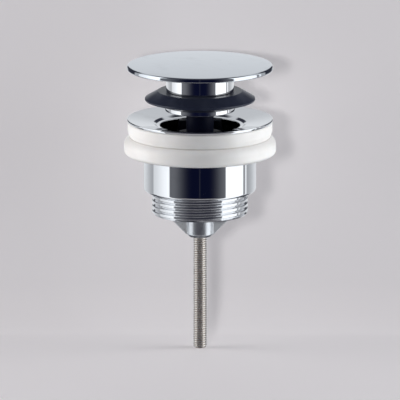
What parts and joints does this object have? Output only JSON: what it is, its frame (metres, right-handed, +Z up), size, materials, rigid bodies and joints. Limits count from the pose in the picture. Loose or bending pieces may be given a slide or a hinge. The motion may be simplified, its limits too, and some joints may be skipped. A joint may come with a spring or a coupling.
{
  "type": "pop-up basin waste",
  "caption": "Push-open basin waste: sprung round plug with a rubber lip seal over a chrome flange, tall white seal, smooth barrel, tail thread and long threaded tie rod.",
  "frame": {"origin": "on the axis, in the plane where the white seal's foot sits on the basin", "axes": "+Z up along the axis towards the cap, X along the two webs of the bridge, -Y towards the viewer"},
  "size_m": [0.0664, 0.0664, 0.1268],
  "materials": {
    "chrome": "polished plate",
    "white_seal": "satin moulded",
    "zinc": "plated casting",
    "stainless": "rolled thread",
    "brass": "turned",
    "acetal": "moulded",
    "black_acetal": "turned",
    "black_rubber": "matte moulded",
    "fibre": "punched sheet"
  },
  "bodies": {
    "body": {"flange_body": "chrome", "flange_seal": "white_seal", "bridge": "zinc", "tie_rod": "stainless", "seat_washer": "fibre", "base_plug": "brass", "base_o_ring": "black_rubber", "cartridge_barrel": "black_acetal", "lower_spacer": "acetal", "upper_spacer": "acetal", "gland_nut": "black_acetal", "gland_o_ring": "black_rubber", "return_spring": "stainless"},
    "latch": {"latch_ring": "acetal", "follower_pins": "stainless"},
    "plug": {"cap_plate": "chrome", "neck_collar": "chrome", "spring_washer": "stainless", "lip_seal": "black_rubber", "seal_core": "acetal", "clamp_disc": "chrome", "spindle": "black_acetal", "cam_sleeve": "acetal", "ring_nut": "brass"}
  },
  "joints": [
    {"name": "plug_slide", "type": "slide", "parent": "body", "child": "plug", "axis": [0, 0, -1], "range_m": [0, 0.0088], "stiffness_N_per_m": 600, "springref_m": -0.008, "deforming": ["return_spring"]},
    {"name": "latch_ring_turn", "type": "hinge", "parent": "body", "child": "latch", "pos_m": [0, 0, -0.0066], "axis": [0, 0, 1], "range_deg": [0, 91]}
  ],
  "couplings": [
    {"joint": "latch_ring_turn", "follows": "plug_slide", "rad_per_m": 178.5}
  ]
}
